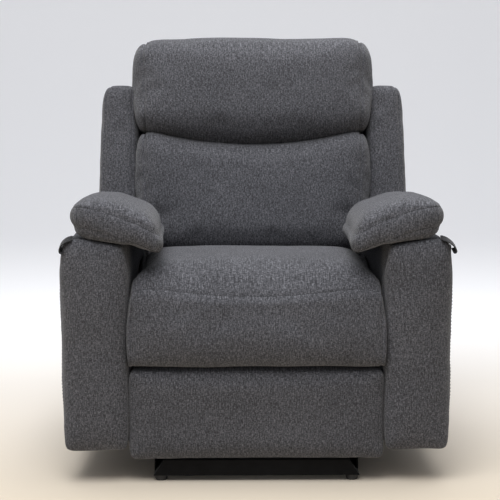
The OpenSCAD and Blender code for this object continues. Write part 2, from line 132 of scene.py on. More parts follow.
def round_corners(a, b, box, radii):
    """Points of a rectangle (a0, a1, b0, b1) moved into its outline with round corners.
    The radii are for the corners (a0, b0), (a1, b0), (a0, b1) and (a1, b1)."""
    a0, a1, b0, b1 = box
    a, b = a.copy(), b.copy()
    corners = ((a0, 1, b0, 1), (a1, -1, b0, 1), (a0, 1, b1, -1), (a1, -1, b1, -1))
    for (ca, sa, cb, sb), r in zip(corners, radii):
        da, db = (a - ca) * sa, (b - cb) * sb
        near = (da < r) & (db < r)
        u, v = (r - da[near]) / r, (r - db[near]) / r
        share = np.maximum(u, v) / np.maximum(np.hypot(u, v), 1e-9)
        a[near] = ca + sa * r * (1 - u * share)
        b[near] = cb + sb * r * (1 - v * share)
    return a, b


def from_back(points):
    """Points in the back's own frame (across, through, up along the back) in the chair's frame."""
    x, p, h = points.T
    c, s = math.cos(LEAN), math.sin(LEAN)
    return np.stack([x, PIVOT_Y + p * c + h * s, PIVOT_Z - p * s + h * c], 1)


# ---------- meshes ----------
def new_object(name, points, faces, material):
    mesh = bpy.data.meshes.new(name)
    mesh.from_pydata([tuple(p) for p in points], [], faces)
    mesh.materials.append(material)
    mesh.polygons.foreach_set("use_smooth", [True] * len(mesh.polygons))
    obj = bpy.data.objects.new(name, mesh)
    bpy.context.scene.collection.objects.link(obj)
    return obj


def coords(obj):
    co = np.zeros(len(obj.data.vertices) * 3, np.float32)
    obj.data.vertices.foreach_get("co", co)
    return co.reshape(-1, 3).astype(float)


def set_coords(obj, points):
    obj.data.vertices.foreach_set("co", points.astype(np.float32).ravel())
    obj.data.update()


def normals(obj):
    n = np.zeros(len(obj.data.vertices) * 3, np.float32)
    obj.data.vertex_normals.foreach_get("vector", n)
    return n.reshape(-1, 3).astype(float)


def puff(obj, held, cap, pressure=4.0, seam=None, shrink=0.03, frames=20):
    """Swells a closed cushion as cloth over its stuffing. held says which points rest on the frame,
    seam which points lie on a seam that draws in, and cap is how far any point may go."""
    start = coords(obj)
    pins = obj.vertex_groups.new(name="held")
    pins.add([int(i) for i in np.nonzero(held)[0]], 1.0, "REPLACE")
    cloth = obj.modifiers.new("Cloth", "CLOTH")
    s = cloth.settings
    s.quality = 4
    s.mass = 0.3
    s.tension_stiffness = 18
    s.compression_stiffness = 12
    s.shear_stiffness = 6
    s.bending_stiffness = 2.5
    s.air_damping = 6
    s.use_pressure = True
    s.uniform_pressure_force = pressure
    s.vertex_group_mass = "held"
    s.effector_weights.gravity = 0
    cloth.collision_settings.use_collision = False
    if seam is not None:
        drawn = obj.vertex_groups.new(name="drawn")
        drawn.add([int(i) for i in np.nonzero(seam)[0]], 1.0, "REPLACE")
        s.vertex_group_shrink = "drawn"
        s.shrink_min = 0.0
        s.shrink_max = shrink
    cloth.point_cache.frame_start = 1
    cloth.point_cache.frame_end = frames
    for f in range(1, frames + 1):
        bpy.context.scene.frame_set(f)
    moved = coords(obj.evaluated_get(bpy.context.evaluated_depsgraph_get()))
    obj.modifiers.remove(cloth)
    bpy.context.scene.frame_set(1)
    step = moved - start
    length = np.linalg.norm(step, axis=1, keepdims=True)
    limit = cap * np.tanh(length / cap) / np.maximum(length, 1e-9)
    set_coords(obj, start + step * limit)


def wave(points, size, seed):
    """Smooth noise from -1 to 1 over points, with bumps about that size apart."""
    shift = Vector((seed * 3.7, seed * 1.3, seed * 5.1))
    return np.array([noise.noise(Vector(p) / size + shift) for p in points])


def finish_surface(obj, seam_distance, seed, softness=0.0022, pucker=0.0020, groove=GROOVE):
    """Seam grooves, puckers that fade away from the seams, and the unevenness of the stuffing."""
    points, n = coords(obj), normals(obj)
    cut = -groove * np.exp(-((seam_distance / 0.0028) ** 2))
    near = np.exp(-seam_distance / 0.030) * soft_step(seam_distance / 0.008)
    move = cut + pucker * near * wave(points, 0.016, seed) + softness * wave(points, 0.11, seed + 1)
    move += 0.0006 * wave(points, 0.034, seed + 2)
    set_coords(obj, points + n * move[:, None])


def smooth_out(obj, levels=1):
    sub = obj.modifiers.new("Subdivision", "SUBSURF")
    sub.levels = levels
    sub.render_levels = levels


def place(obj, body, node, slot, fill):
    """A finished padded piece rides on its body and stands for its CAD node."""
    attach(obj, body)
    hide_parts(node)
    return obj


def stitches(name, obj, ring, body, material, pitch=0.0075, length=0.0046, radius=0.0006, keep=None):
    """A row of short threads along a ring of points, lying on the surface."""
    points, n = coords(obj), normals(obj)
    path, up = points[ring], n[ring]
    step = np.linalg.norm(np.roll(path, -1, 0) - path, axis=1)
    along = np.concatenate([[0], np.cumsum(step)])
    closed_path, closed_up = np.vstack([path, path[:1]]), np.vstack([up, up[:1]])
    count = int(along[-1] / pitch)
    verts, faces = [], []
    sides = 5
    for i in range(count):
        s = (i + 0.5) * along[-1] / count
        ends = [np.array([np.interp(s + d, along, closed_path[:, c]) for c in range(3)])
                for d in (-length / 2, length / 2)]
        mid_up = np.array([np.interp(s, along, closed_up[:, c]) for c in range(3)])
        if keep is not None and not keep((ends[0] + ends[1]) / 2):
            continue
        run = ends[1] - ends[0]
        size = np.linalg.norm(run)
        if size < 1e-6:
            continue
        run = run / size
        mid_up = mid_up / max(np.linalg.norm(mid_up), 1e-9)
        side = np.cross(run, mid_up)
        first = len(verts)
        for t, r, lift in ((0, 0.25, -0.0003), (0.25, 1, 0.0002), (0.75, 1, 0.0002), (1, 0.25, -0.0003)):
            centre = ends[0] * (1 - t) + ends[1] * t + mid_up * lift
            for k in range(sides):
                a = 2 * math.pi * k / sides
                verts.append(centre + radius * r * (side * math.cos(a) + mid_up * math.sin(a)))
        for row in range(3):
            for k in range(sides):
                k2 = (k + 1) % sides
                a, b = first + row * sides, first + (row + 1) * sides
                faces.append((a + k, a + k2, b + k2, b + k))
        faces.append(tuple(first + k for k in reversed(range(sides))))
        faces.append(tuple(first + 3 * sides + k for k in range(sides)))
    thread = new_object(name, verts, faces, material)
    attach(thread, body)
    return thread


def seam_shade_line(name, obj, ring, body, keep=None):
    """Painted shade in the groove of a closed seam: a dark line of short overlapping threads that lie on it."""
    return stitches(name, obj, ring, body, SEAM_SHADE, pitch=0.0045, length=0.0048, radius=0.00075, keep=keep)


# ---------- materials ----------
class Nodes:
    """Short calls for building a material's nodes."""

    def __init__(self, name):
        self.material = bpy.data.materials.new(name)
        self.material.use_nodes = True
        self.tree = self.material.node_tree
        self.shader = self.tree.nodes["Principled BSDF"]

    def add(self, kind, **values):
        node = self.tree.nodes.new(kind)
        for k, v in values.items():
            setattr(node, k, v)
        return node

    def link(self, a, b):
        self.tree.links.new(a, b)

    def math(self, operation, a, b=None, clamp=False):
        node = self.add("ShaderNodeMath", operation=operation, use_clamp=clamp)
        for socket, value in zip(node.inputs, (a, b)):
            if value is None:
                continue
            if isinstance(value, (int, float)):
                socket.default_value = value
            else:
                self.link(value, socket)
        return node.outputs[0]

    def scaled(self, vector, scale):
        node = self.add("ShaderNodeVectorMath", operation="MULTIPLY")
        self.link(vector, node.inputs[0])
        node.inputs[1].default_value = scale
        return node.outputs[0]

    def noise(self, vector, scale, detail=3.0, rough=0.55):
        node = self.add("ShaderNodeTexNoise")
        node.inputs["Scale"].default_value = scale
        node.inputs["Detail"].default_value = detail
        node.inputs["Roughness"].default_value = rough
        self.link(vector, node.inputs["Vector"])
        return node.outputs["Fac"]

    def ramp(self, value, stops):
        node = self.add("ShaderNodeValToRGB")
        while len(node.color_ramp.elements) < len(stops):
            node.color_ramp.elements.new(0.5)
        for element, (at, colour) in zip(node.color_ramp.elements, stops):
            element.position = at
            element.color = (*colour, 1)
        self.link(value, node.inputs["Fac"])
        return node.outputs["Color"]

    def bump(self, height, distance, strength=1.0, after=None):
        node = self.add("ShaderNodeBump")
        node.inputs["Distance"].default_value = distance
        node.inputs["Strength"].default_value = strength
        self.link(height, node.inputs["Height"])
        if after is not None:
            self.link(after, node.inputs["Normal"])
        return node.outputs["Normal"]

    def object_place(self):
        return self.add("ShaderNodeTexCoord").outputs["Object"]

    def cloth_plane(self):
        """The two directions that lie in the cloth, chosen by the way the surface faces."""
        coord = self.add("ShaderNodeTexCoord")
        place_xyz, facing = self.add("ShaderNodeSeparateXYZ"), self.add("ShaderNodeSeparateXYZ")
        self.link(coord.outputs["Object"], place_xyz.inputs[0])
        self.link(coord.outputs["Normal"], facing.inputs[0])
        x, y, z = (self.math("ABSOLUTE", facing.outputs[i]) for i in range(3))
        side = self.math("GREATER_THAN", x, self.math("MAXIMUM", y, z))
        top = self.math("GREATER_THAN", z, self.math("MAXIMUM", x, y))
        not_side, not_top = self.math("SUBTRACT", 1, side), self.math("SUBTRACT", 1, top)
        px, py, pz = (place_xyz.outputs[i] for i in range(3))
        u = self.math("ADD", self.math("MULTIPLY", px, not_side), self.math("MULTIPLY", py, side))
        # on a top, yarns run longer from front to rear, so that they still show at a flat angle
        drawn_out = self.math("MULTIPLY", py, self.math("MULTIPLY", top, 0.45))
        v = self.math("ADD", self.math("MULTIPLY", pz, not_top), drawn_out)
        both = self.add("ShaderNodeCombineXYZ")
        self.link(u, both.inputs[0])
        self.link(v, both.inputs[1])
        return both.outputs[0], u, v


def fabric(name, dark, mid, light, thread=0.0013, contrast=1.0):
    """A heather linen-look cloth: plain weave, uneven yarns both ways and pale flecks."""
    n = Nodes(name)
    plane, u, v = n.cloth_plane()
    warp = n.math("ABSOLUTE", n.math("SINE", n.math("MULTIPLY", u, math.pi / thread)))
    weft = n.math("ABSOLUTE", n.math("SINE", n.math("MULTIPLY", v, math.pi / thread)))
    weave = n.math("MULTIPLY", warp, weft)
    across = n.noise(n.scaled(plane, (170, 720, 1)), 1.0, 1.5)
    upward = n.noise(n.scaled(plane, (640, 130, 1)), 1.0, 1.5)
    long_slub = n.noise(n.scaled(plane, (420, 30, 1)), 1.0, 1.0)
    flecks = n.noise(plane, 640.0, 0.0)
    grain = n.noise(n.scaled(plane, (260, 190, 1)), 1.0, 1.0)
    cloudy = n.noise(n.object_place(), 7.0, 3.0)
    parts = ((across, 0.26), (upward, 0.28), (long_slub, 0.13), (flecks, 0.14), (grain, 0.14), (cloudy, 0.05))
    tone = n.math("MULTIPLY", parts[0][0], parts[0][1])
    for part, share in parts[1:]:
        tone = n.math("ADD", tone, n.math("MULTIPLY", part, share))
    tone = n.math("ADD", n.math("MULTIPLY", n.math("SUBTRACT", tone, 0.5), 3.0 * contrast), 0.5, clamp=True)
    colour = n.ramp(tone, ((0.24, dark), (0.48, mid), (0.78, light)))
    n.link(colour, n.shader.inputs["Base Color"])
    n.shader.inputs["Roughness"].default_value = 0.93
    n.shader.inputs["Specular IOR Level"].default_value = 0.16
    n.shader.inputs["Sheen Weight"].default_value = 0.18
    n.shader.inputs["Sheen Roughness"].default_value = 0.45
    first = n.bump(n.math("ADD", across, upward), 0.0008, 0.8)
    second = n.bump(weave, 0.0004, 0.7, first)
    n.link(second, n.shader.inputs["Normal"])
    return n.material


def metal(name, colour, rough, metallic=1.0, grain=(30, 400, 400), bump=0.00008, specular=0.5):
    """Rolled or painted steel: fine grain along the piece, uneven gloss and a little wear."""
    n = Nodes(name)
    where = n.object_place()
    brushed = n.noise(n.scaled(where, grain), 1.0, 3.0)
    worn = n.noise(where, 38.0, 5.0, 0.65)
    low = tuple(c * 0.72 for c in colour)
    high = tuple(min(1, c * 1.22) for c in colour)
    n.link(n.ramp(worn, ((0.35, low), (0.52, colour), (0.72, high))), n.shader.inputs["Base Color"])
    gloss = n.math("ADD", n.math("MULTIPLY", brushed, 0.18), rough - 0.09)
    n.link(gloss, n.shader.inputs["Roughness"])
    n.shader.inputs["Metallic"].default_value = metallic
    n.shader.inputs["Specular IOR Level"].default_value = specular
    n.link(n.bump(brushed, bump, 0.5), n.shader.inputs["Normal"])
    return n.material


def wood(name):
    """Pale sawn board with long grain and a few darker bands."""
    n = Nodes(name)
    where = n.object_place()
    grain = n.noise(n.scaled(where, (6, 60, 60)), 1.0, 6.0, 0.6)
    pores = n.noise(n.scaled(where, (40, 900, 900)), 1.0, 2.0)
    tone = n.math("ADD", n.math("MULTIPLY", grain, 0.8), n.math("MULTIPLY", pores, 0.2))
    colour = n.ramp(tone, ((0.35, (0.30, 0.18, 0.08)), (0.5, (0.47, 0.31, 0.16)), (0.68, (0.58, 0.42, 0.24))))
    n.link(colour, n.shader.inputs["Base Color"])
    n.shader.inputs["Roughness"].default_value = 0.72
    n.link(n.bump(tone, 0.0005, 0.6), n.shader.inputs["Normal"])
    return n.material


def plastic(name, colour, rough):
    """Moulded plastic with a fine spark-eroded texture."""
    n = Nodes(name)
    where = n.object_place()
    texture = n.noise(where, 900.0, 2.0)
    cloudy = n.noise(where, 25.0, 3.0)
    low, high = tuple(c * 0.85 for c in colour), tuple(min(1, c * 1.15) for c in colour)
    n.link(n.ramp(cloudy, ((0.3, low), (0.7, high))), n.shader.inputs["Base Color"])
    n.shader.inputs["Roughness"].default_value = rough
    n.link(n.bump(texture, 0.0002, 0.5), n.shader.inputs["Normal"])
    return n.material


def stage_paint():
    """Plain pale floor, warm in front and turning pale grey behind the chair."""
    n = Nodes("stage_paint")
    split = n.add("ShaderNodeSeparateXYZ")
    n.link(n.object_place(), split.inputs[0])
    back = n.math("MULTIPLY", n.math("ADD", split.outputs[1], 0.6), 0.42, clamp=True)
    colour = n.ramp(back, ((0.0, (0.62, 0.54, 0.43)), (1.0, (0.84, 0.84, 0.855))))
    n.link(colour, n.shader.inputs["Base Color"])
    glow = n.ramp(back, ((0.5, (0.0, 0.0, 0.0)), (1.0, (0.17, 0.17, 0.175))))
    n.link(glow, n.shader.inputs["Emission Color"])
    n.shader.inputs["Emission Strength"].default_value = 1.0
    n.shader.inputs["Roughness"].default_value = 0.9
    return n.material


HEATHER = fabric("heather_fabric", (0.026, 0.0262, 0.0295), (0.058, 0.0585, 0.066), (0.152, 0.153, 0.170))
POUCH = fabric("pouch_fabric", (0.010, 0.010, 0.011), (0.018, 0.018, 0.020), (0.045, 0.045, 0.048),
               contrast=0.8)
THREAD = fabric("seam_thread", (0.070, 0.070, 0.077), (0.095, 0.095, 0.104), (0.125, 0.125, 0.136),
                thread=0.0004)
# painted shade: a near-black thread colour that darkens the seam grooves, where shade falls
SEAM_SHADE = fabric("seam_shade_line", (0.010, 0.010, 0.011), (0.016, 0.016, 0.018), (0.024, 0.024, 0.026),
                   thread=0.0004)
WEBBING = fabric("webbing", (0.012, 0.012, 0.013), (0.022, 0.022, 0.024), (0.05, 0.05, 0.053), thread=0.0024)
BLACK_STEEL = metal("black_steel", (0.0045, 0.0045, 0.005), 0.62, metallic=0.0, specular=0.10)
LINK_STEEL = metal("link_steel", (0.36, 0.37, 0.38), 0.40)
BRIGHT_STEEL = metal("bright_steel", (0.58, 0.59, 0.60), 0.28)
SPRING_STEEL = metal("spring_steel", (0.24, 0.245, 0.25), 0.42)
BLACK_PLASTIC = plastic("black_plastic", (0.016, 0.016, 0.017), 0.5)
WHITE_NYLON = plastic("white_nylon", (0.72, 0.71, 0.66), 0.42)
WOOD = wood("frame_wood")


# ---------- pieces on the back ----------
def back_box(name, size, radii, seam_x, crown, gusset, shape, fill, cap, seed):
    """A cushion on the back: one panel over its front and top, and a narrow gusset on each side.
    size is (half width, face, rear, low, high) in the back's own frame."""
    half, face, rear, low, high = size
    xs = lines(-half, half, seams=[-seam_x, seam_x])
    grid = Grid(xs, lines(face, rear), lines(low, high))
    x, p, h = grid.base.T.copy()
    p2, h2 = round_corners(p, h, (face, rear, low, high), radii)
    inside = np.clip(1 - np.abs(x) / half, 0, 1) * half
    puffed = dome(inside, 0.11)
    p2 = rear + (p2 - rear) * (1 + crown / (rear - face) * (puffed - 1))
    end = np.clip((np.abs(x) - seam_x) / (half - seam_x), 0, 1)
    # the gusset swells most half way round its panel
    round_share = np.minimum(dome(np.minimum(p - face, rear - p) + 0.004, 0.045),
                             dome(np.minimum(h - low, high - h) + 0.004, 0.05))
    x2 = np.sign(x) * (np.minimum(np.abs(x), seam_x) + end * gusset * (0.35 + 0.65 * round_share))
    local = shape(np.stack([x2, p2, h2], 1), grid.base)
    obj = new_object(name, from_back(local), grid.faces, HEATHER)
    seam_distance = np.abs(np.abs(grid.base[:, 0]) - seam_x)
    rests = grid.base[:, 1] > rear - 0.002
    puff(obj, rests, cap, seam=seam_distance < 0.001)
    finish_surface(obj, seam_distance, seed)
    rows = []
    for side in (-1, 1):
        ring = grid.ring(0, side * (seam_x - SEAM_STEPS[1]))
        tag = "right" if side > 0 else "left"
        rows.append(stitches(f"{name}_stitches_{tag}", obj, ring, "backrest", THREAD))
    smooth_out(obj)
    place(obj, "backrest", name, "heather_fabric", fill)
    return obj


def head_cushion():
    def shape(points, base):
        x, p, h = points.T.copy()
        across = np.abs(base[:, 0]) / BACK_HALF
        share = (base[:, 2] - 0.3928) / 0.262
        h += (1 - share) * (0.038 * across ** 2 - 0.016)  # the lower edge is a smile
        h += share * (0.004 + 0.003 * np.cos(base[:, 0] / BACK_HALF * 5.2 + 1.1))
        x *= 1.014 - 0.030 * (1 - share) - 0.030 * np.clip((share - 0.70) / 0.30, 0, 1) ** 2
        h -= 0.012 * share * np.clip((across - 0.80) / 0.20, 0, 1) ** 2
        return np.stack([x, p, h], 1)

    return back_box("head_cushion", (BACK_HALF, -0.186, -0.012, 0.3928, 0.6548),
                    (0.045, 0.02, 0.062, 0.03), 0.290, 0.030, 0.025, shape, 0.85, 0.012, 11)


def back_cushion():
    def shape(points, base):
        x, p, h = points.T.copy()
        # narrow between the arms, and almost full width above the pads
        heights, halves = (0.088, 0.177, 0.206, 0.300, 0.386), (0.2745, 0.2755, 0.294, BACK_HALF, 0.301)
        x *= np.interp(base[:, 2], heights, halves) / BACK_HALF
        top_share = np.clip((base[:, 2] - 0.088) / 0.298, 0, 1)
        across = np.abs(base[:, 0]) / BACK_HALF
        h += top_share ** 3 * (0.042 * across ** 2 - 0.010)
        h -= 0.017 * top_share * np.clip((across - 0.84) / 0.16, 0, 1) ** 2
        middle = np.clip(1 - (base[:, 0] / 0.3) ** 2, 0, 1)
        p -= 0.010 * middle * np.clip((0.30 - base[:, 2]) / 0.2, 0, 1)
        return np.stack([x, p, h], 1)

    return back_box("back_cushion", (BACK_HALF, -0.172, -0.012, 0.088, 0.386),
                    (0.030, 0.02, 0.045, 0.02), 0.288, 0.022, 0.022, shape, 0.8, 0.012, 23)


def wing(side):
    tag = "right" if side > 0 else "left"
    inner, outer = 0.307, WING_OUT
    face, rear, low, high = -0.130, -0.012, 0.110, WING_HIGH
    xs = lines(inner, outer, 0.010, [inner + 0.008, outer - 0.008])
    grid = Grid(xs, lines(face, rear), lines(low, high))
    x, p, h = grid.base.T.copy()
    p2, h2 = round_corners(p, h, (face, rear, low, high), (0.02, 0.02, 0.022, 0.022))
    middle = (inner + outer) / 2
    depth = np.minimum(x - inner, outer - x)
    p2 = rear + (p2 - rear) * (1 + 0.012 / (rear - face) * (dome(depth, 0.026) - 1))
    h2 = low + (h2 - low) * (1 + 0.004 / (high - low) * (dome(depth, 0.022) - 1))
    swell = np.minimum(dome(p - face + 0.003, 0.05), dome(high - h + 0.003, 0.05))
    x2 = middle + (x - middle) * (0.93 + 0.07 * swell)
    rise = np.clip((h - low) / (high - low), 0, 1)
    x2 = inner + (x2 - inner) * (1.012 - 0.085 * rise ** 1.5)
    corner = np.clip((h2 - (high - 0.030)) / 0.030, 0, 1)
    x2 -= 0.020 * (1 - np.sqrt(1 - corner ** 2 * 0.98)) * np.clip((x - middle) / (outer - middle), 0, 1)
    h2 = h2 + 0.003 * rise
    points = from_back(np.stack([x2, p2, h2], 1))
    points[:, 0] *= side
    faces = grid.faces if side > 0 else [f[::-1] for f in grid.faces]
    obj = new_object(f"wing_{tag}", points, faces, HEATHER)
    seam_distance = np.minimum(np.abs(x - inner - 0.008), np.abs(outer - 0.008 - x))
    puff(obj, grid.base[:, 1] > rear - 0.002, 0.005, seam=seam_distance < 0.001, pressure=3.0)
    finish_surface(obj, seam_distance, 31 + side, softness=0.0012, pucker=0.0010)
    smooth_out(obj)
    return place(obj, "backrest", f"wing_{tag}", "heather_fabric", 0.9)


# ---------- rear cover ----------
def rear_cover():
    """Upholstered shell behind the back: wide behind the wings, narrow above and below them."""
    wide = WING_OUT - 0.001
    # (height, half width)
    rows = ((0.010, 0.268), (0.030, 0.280), (0.105, 0.281), (0.118, wide - 0.004), (0.150, wide),
            (0.488, wide), (0.523, wide - 0.004), (0.538, 0.292), (0.565, 0.289),
            (0.600, 0.286), (0.6268, 0.262))
    low, high = rows[0][0], rows[-1][0]
    front, back = -0.0116, 0.070
    us = lines(-1, 1, 0.030, [-0.96, 0.96])
    grid = Grid(us, lines(front, back, 0.0135), lines(low, high, 0.0125, [0.118, 0.5305]))
    u, p, h = grid.base.T.copy()
    half = np.interp(h, [r[0] for r in rows], [r[1] for r in rows])
    across = np.minimum(half * (1 - np.abs(u)), 0.2)
    round_share = dome(across + 0.001, 0.035) * dome(np.minimum(h - low, high - h) + 0.001, 0.035)
    share = (p - front) / (back - front)
    p2 = front + (p - front) * (0.55 + 0.45 * round_share)
    p2 += 0.010 * share * dome(across, 0.25)
    local = np.stack([u * half, p2, h], 1)
    obj = new_object("rear_cover", from_back(local), grid.faces, HEATHER)
    seam_distance = np.where(share > 0.5, np.abs(np.abs(u) - 0.96) * half, 1.0)
    across_seams = np.minimum(np.abs(h - 0.118), np.abs(h - 0.5305))
    seam_distance = np.minimum(seam_distance, np.where(share > 0.5, across_seams, 1.0))
    puff(obj, grid.base[:, 1] < front + 0.002, 0.006, pressure=2.0, seam=seam_distance < 0.001)
    finish_surface(obj, seam_distance, 41, softness=0.0015, pucker=0.0012)
    smooth_out(obj)
    return place(obj, "backrest", "rear_cover", "heather_fabric", 0.5)


# ---------- seat ----------
def seat_cushion():
    half, seam_x = 0.281, 0.272
    front, rear = FRONT - 0.010, FRONT + 0.540
    low, high = 0.260, 0.471
    nose_seam = 0.453
    grid = Grid(lines(-half, half, seams=[-seam_x, seam_x]), lines(front, rear, 0.013),
                lines(low, high, 0.012, [nose_seam]))
    x, y, level = grid.base.T.copy()
    w = (level - low) / (high - low)
    depth = y - front
    bottom = 0.3644 - (0.3644 - low) * soft_step((0.060 - depth) / 0.018)
    top = 0.462 + 0.015 * np.cos(np.clip((depth - 0.20) / 0.40, -1, 1) * math.pi / 2)
    top -= 0.020 * soft_step((depth - 0.38) / 0.17)
    y2, w2 = round_corners(y, level, (front, rear, low, high), (0.028, 0.02, 0.055, 0.03))
    w2 = (w2 - low) / (high - low)
    z = bottom + (top - bottom) * w2
    nose = soft_step((0.075 - depth) / 0.06)
    side = dome(half - np.abs(x), 0.10)
    fall = 0.030 * (1 - 0.85 * soft_step((depth - 0.22) / 0.20))
    z += (side - 1) * fall * soft_step((w - 0.3) / 0.7)
    z -= nose * 0.028 * (1 - (x / half) ** 2) * np.exp(-(((level - nose_seam) / 0.04) ** 2))
    y2 -= nose * 0.012 * (side - 0.2) * np.sin(np.clip(w, 0, 1) * math.pi)
    end = np.clip((np.abs(x) - seam_x) / (half - seam_x), 0, 1)
    x2 = np.sign(x) * (np.minimum(np.abs(x), seam_x) + end * (half - seam_x))
    x2 *= 1 + 0.018 * nose * np.sin(np.clip(w, 0, 1) * math.pi)
    obj = new_object("seat_cushion", np.stack([x2, y2, z], 1), grid.faces, HEATHER)
    # a seam runs across the nose, between the top panel and the front panel
    across = np.where(depth < 0.03, np.abs(level - nose_seam), 1.0)
    seam_distance = np.minimum(np.abs(np.abs(x) - seam_x), across)
    puff(obj, (w < 0.02) | (y > rear - 0.003), 0.014, seam=seam_distance < 0.001)
    finish_surface(obj, seam_distance, 53, softness=0.0034, groove=0.0017)
    # painted shade along the groove of the nose seam
    seam_shade_line("seat_nose_seam", obj, grid.ring(2, nose_seam), "seat",
              keep=lambda p: p[1] < front + 0.10 and abs(p[0]) < 0.268)
    for tag, hand in (("left", -1), ("right", 1)):
        ring = grid.ring(0, hand * (seam_x - SEAM_STEPS[1]))
        stitches(f"seat_stitches_{tag}", obj, ring, "seat", THREAD)
    smooth_out(obj)
    return place(obj, "seat", "seat_cushion", "heather_fabric", 0.75)


# ---------- arms ----------
def arm_cover(side):
    tag = "right" if side > 0 else "left"
    inner, outer = ARM_INNER, 0.423
    front, rear = FRONT, FRONT + 0.640
    low, high = 0.074, 0.541
    front_seam = FRONT + 0.030
    ys = lines(front, rear, 0.013, [front_seam, FRONT + 0.528])
    grid = Grid(lines(inner, outer, 0.0125), ys, lines(low, high, 0.0135))
    x, y, z = grid.base.T.copy()
    x2, z2 = round_corners(x, z, (inner, outer, low, high), (0.012, 0.012, 0.020, 0.021))
    # the top lies under the pad, sloping down to the seat, and the rear end is low
    top = np.minimum(high, 0.537 + (x2 - 0.353) * ARM_SLOPE)
    tail = soft_step((y - FRONT - 0.520) / 0.018)
    top = top + (0.397 - top) * tail
    z2 = low + (z2 - low) * (top - low) / (high - low)
    swell = dome(np.minimum(x - inner, outer - x) + 0.001, 0.040)
    swell = swell * dome(np.minimum(z - low, high - z) + 0.001, 0.05)
    front_share = np.clip(1 - (y - front) / 0.05, 0, 1)
    y2 = y - 0.010 * swell * front_share + 0.006 * (1 - swell) * front_share
    side_swell = dome(y - front + 0.002, 0.06) * dome(np.minimum(z - low, high - z) + 0.001, 0.09)
    middle = (inner + outer) / 2
    fuller = np.where(x2 > middle, 0.985 + 0.036 * side_swell, 0.980 + 0.022 * side_swell)
    x2 = middle + (x2 - middle) * fuller
    points = np.stack([x2 * side, y2, z2], 1)
    faces = grid.faces if side > 0 else [f[::-1] for f in grid.faces]
    obj = new_object(f"arm_cover_{tag}", points, faces, HEATHER)
    seam_distance = np.abs(y - front_seam)
    puff(obj, (z < low + 0.002) | (z > high - 0.002) | (y > rear - 0.002), 0.007, pressure=2.5)
    finish_surface(obj, seam_distance, 61 + side, softness=0.0034, groove=0.0026)
    stitches(f"arm_cover_{tag}_stitches", obj, grid.ring(1, front_seam + SEAM_STEPS[1]), "base", THREAD)
    # painted shade along the groove of the arm's front seam
    seam_shade_line(f"arm_cover_{tag}_seam", obj, grid.ring(1, front_seam), "base")
    smooth_out(obj)
    return place(obj, "base", f"arm_cover_{tag}", "heather_fabric", 0.6)


def arm_pad(side):
    """A boxed pillow that lies over the arm and slopes down to the seat."""
    tag = "right" if side > 0 else "left"
    inner, outer = 0.210, 0.4005
    front, rear = FRONT - 0.010, FRONT + 0.493
    levels = [0, 0.07, 0.17, 0.34, 0.5, 0.66, 0.83, 0.93, 1]
    xs = lines(inner, outer, 0.0115, [inner, outer])
    grid = Grid(xs, lines(front, rear, 0.0135, [front, rear]), levels)
    x, y, w = grid.base.T.copy()
    x2, y2 = round_corners(x, y, (inner, outer, front, rear), (0.034, 0.044, 0.030, 0.040))
    u = (x2 - inner) / (outer - inner)
    lower_seam = np.interp(u, (0, 0.08, 0.24, 0.56, 0.78, 1), (0.506, 0.511, 0.528, 0.554, 0.566, 0.571))
    upper_seam = np.interp(u, (0, 0.2, 0.48, 0.7, 0.88, 1), (0.543, 0.568, 0.593, 0.607, 0.614, 0.612))
    lower_seam = lower_seam - 0.010 * np.clip((y2 - front) / 0.45, 0, 1)
    upper_seam = upper_seam - 0.016 * np.clip((y2 - front) / 0.45, 0, 1)
    edge = np.minimum(np.minimum(x - inner, outer - x), np.minimum(y - front, rear - y))
    run = (y2 - front) / (rear - front)
    crest = np.interp(u, (0, 0.13, 0.4, 0.6, 0.8, 1), (0.588, 0.597, 0.613, 0.626, 0.630, 0.626))
    crest = crest - 0.020 * soft_step((run - 0.25) / 0.75) - 0.006 * (1 - soft_step(run / 0.2))
    rest = 0.537 + (x2 - 0.353) * ARM_SLOPE + 0.002
    rest = np.where(x2 < ARM_INNER, rest + 0.004, rest)
    z = lower_seam + w * (upper_seam - lower_seam)
    on_top, below = w > 0.999, w < 0.001
    z = np.where(on_top, upper_seam + np.maximum(crest - upper_seam, 0.009) * dome(edge, 0.046), z)
    z = np.where(below, lower_seam + np.minimum(rest - lower_seam, -0.003) * dome(edge, 0.030), z)
    bulge = np.where(on_top | below, 0.0, np.sin(np.clip(w, 0, 1) * math.pi)) * 0.007
    y2 += np.where(y < front + 1e-6, -bulge, 0) + np.where(y > rear - 1e-6, bulge, 0)
    x2 += np.where(x < inner + 1e-6, -bulge, 0) + np.where(x > outer - 1e-6, bulge, 0)
    x2 += 0.024 * run * (1 - u)
    obj_points = np.stack([x2 * side, y2, z], 1)
    faces = grid.faces if side > 0 else [f[::-1] for f in grid.faces]
    obj = new_object(f"arm_pad_{tag}", obj_points, faces, HEATHER)
    seam_distance = np.where(on_top | below, edge, np.minimum(w, 1 - w) * 0.040)
    puff(obj, below & (x > 0.290), 0.007, seam=seam_distance < 0.001, shrink=0.0)
    finish_surface(obj, seam_distance, 71 + side, softness=0.002, pucker=0.0010, groove=0.0019)
    # painted shade along the grooves of the pad's upper and lower seams
    for edge_name, level in (("lower", 0.0), ("upper", 1.0)):
        seam_shade_line(f"arm_pad_{tag}_{edge_name}_seam", obj, grid.ring(2, level), "base")
    smooth_out(obj)
    return place(obj, "base", f"arm_pad_{tag}", "heather_fabric", 0.85)


def sheet_object(name, rows, material, thickness):
    """A cloth sheet from rows of points, given some thickness."""
    width = len(rows[0])
    assert all(len(row) == width for row in rows), name
    verts = [p for row in rows for p in row]
    faces = [(k * width + j, k * width + j + 1, (k + 1) * width + j + 1, (k + 1) * width + j)
             for k in range(len(rows) - 1) for j in range(width - 1)]
    obj = new_object(name, verts, faces, material)
    thick = obj.modifiers.new("Cloth thickness", "SOLIDIFY")
    thick.thickness = thickness
    thick.offset = 0
    smooth_out(obj)
    return obj


